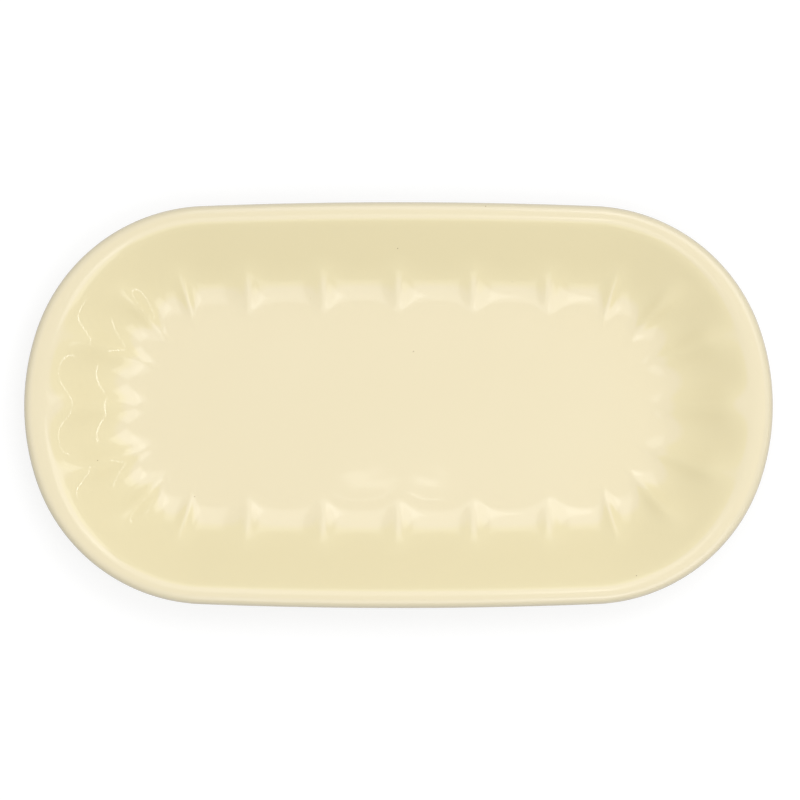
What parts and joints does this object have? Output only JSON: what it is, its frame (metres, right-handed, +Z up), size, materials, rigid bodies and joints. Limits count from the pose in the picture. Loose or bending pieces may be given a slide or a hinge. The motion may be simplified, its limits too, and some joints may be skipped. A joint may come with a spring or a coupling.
{
  "type": "oval serving platter",
  "caption": "Oval glazed stoneware serving platter with a narrow smooth lip, a fluted sloping wall, a flat floor and a bare foot ring to stand on.",
  "frame": {"origin": "on the table, under the middle of the platter", "axes": "+X along the platter's length, +Y along its width, +Z up out of the well"},
  "size_m": [0.35, 0.19, 0.03],
  "materials": {
    "bare_clay": "matte",
    "cream_glaze": "gloss"
  },
  "bodies": {
    "root": {"clay_body": "bare_clay", "glaze_coat": "cream_glaze", "base_glaze": "cream_glaze"}
  },
  "joints": []
}
